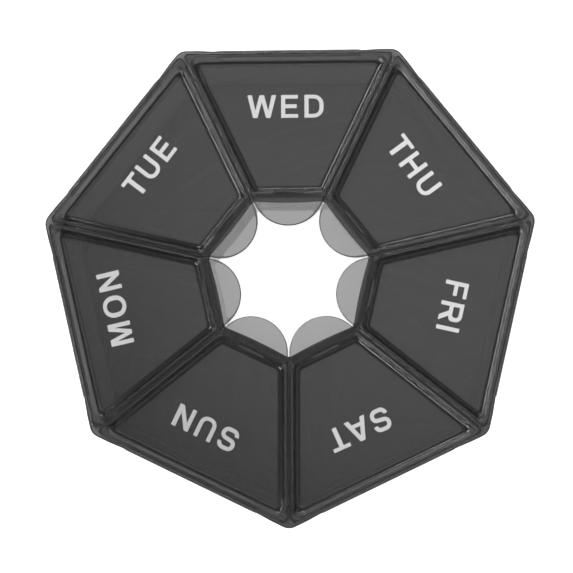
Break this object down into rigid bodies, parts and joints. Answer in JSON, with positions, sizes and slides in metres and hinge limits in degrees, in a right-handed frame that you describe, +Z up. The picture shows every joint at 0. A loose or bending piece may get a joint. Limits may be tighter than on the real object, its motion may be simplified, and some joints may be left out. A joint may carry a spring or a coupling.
{
  "type": "weekly pill case",
  "caption": "Weekly pill case in see-through plastic: a polygonal compartment tray, flip lids with thumb tabs round a central opening, and film hinges.",
  "frame": {"origin": "middle of the outline's box, on the face that the case stands on", "axes": "+Z up through the lids; +Y out through the hinge side of Wednesday's compartment; the days run clockwise from there, seen from above"},
  "size_m": [0.112, 0.1092, 0.022],
  "materials": {
    "tray_smoke": "smooth moulded polypropylene, see-through smoke grey, glossy",
    "lid_smoke": "smooth moulded polypropylene, see-through smoke grey, glossy, with a white printed weekday",
    "hinge_smoke": "thin flexed polypropylene film, see-through smoke grey"
  },
  "bodies": {
    "tray": {"tray": "tray_smoke", "hinge_wed": "hinge_smoke", "hinge_thu": "hinge_smoke", "hinge_fri": "hinge_smoke", "hinge_sat": "hinge_smoke", "hinge_sun": "hinge_smoke", "hinge_mon": "hinge_smoke", "hinge_tue": "hinge_smoke"},
    "lid_wed": {"lid_wed": "lid_smoke"},
    "lid_thu": {"lid_thu": "lid_smoke"},
    "lid_fri": {"lid_fri": "lid_smoke"},
    "lid_sat": {"lid_sat": "lid_smoke"},
    "lid_sun": {"lid_sun": "lid_smoke"},
    "lid_mon": {"lid_mon": "lid_smoke"},
    "lid_tue": {"lid_tue": "lid_smoke"}
  },
  "joints": [
    {"name": "lid_wed_flip", "type": "hinge", "parent": "tray", "child": "lid_wed", "pos_m": [0, 0.05454, 0.02105], "axis": [-1, 0, 0], "range_deg": [0, 180], "deforming": ["hinge_wed"]},
    {"name": "lid_thu_flip", "type": "hinge", "parent": "tray", "child": "lid_thu", "pos_m": [0.04046, 0.03506, 0.02105], "axis": [-0.6235, 0.7818, 0], "range_deg": [0, 180], "deforming": ["hinge_thu"]},
    {"name": "lid_fri_flip", "type": "hinge", "parent": "tray", "child": "lid_fri", "pos_m": [0.05045, -0.00873, 0.02105], "axis": [0.2225, 0.9749, 0], "range_deg": [0, 180], "deforming": ["hinge_fri"]},
    {"name": "lid_sat_flip", "type": "hinge", "parent": "tray", "child": "lid_sat", "pos_m": [0.02245, -0.04383, 0.02105], "axis": [0.901, 0.4339, 0], "range_deg": [0, 180], "deforming": ["hinge_sat"]},
    {"name": "lid_sun_flip", "type": "hinge", "parent": "tray", "child": "lid_sun", "pos_m": [-0.02245, -0.04383, 0.02105], "axis": [0.901, -0.4339, 0], "range_deg": [0, 180], "deforming": ["hinge_sun"]},
    {"name": "lid_mon_flip", "type": "hinge", "parent": "tray", "child": "lid_mon", "pos_m": [-0.05045, -0.00873, 0.02105], "axis": [0.2225, -0.9749, 0], "range_deg": [0, 180], "deforming": ["hinge_mon"]},
    {"name": "lid_tue_flip", "type": "hinge", "parent": "tray", "child": "lid_tue", "pos_m": [-0.04046, 0.03506, 0.02105], "axis": [-0.6235, -0.7818, 0], "range_deg": [0, 180], "deforming": ["hinge_tue"]}
  ]
}
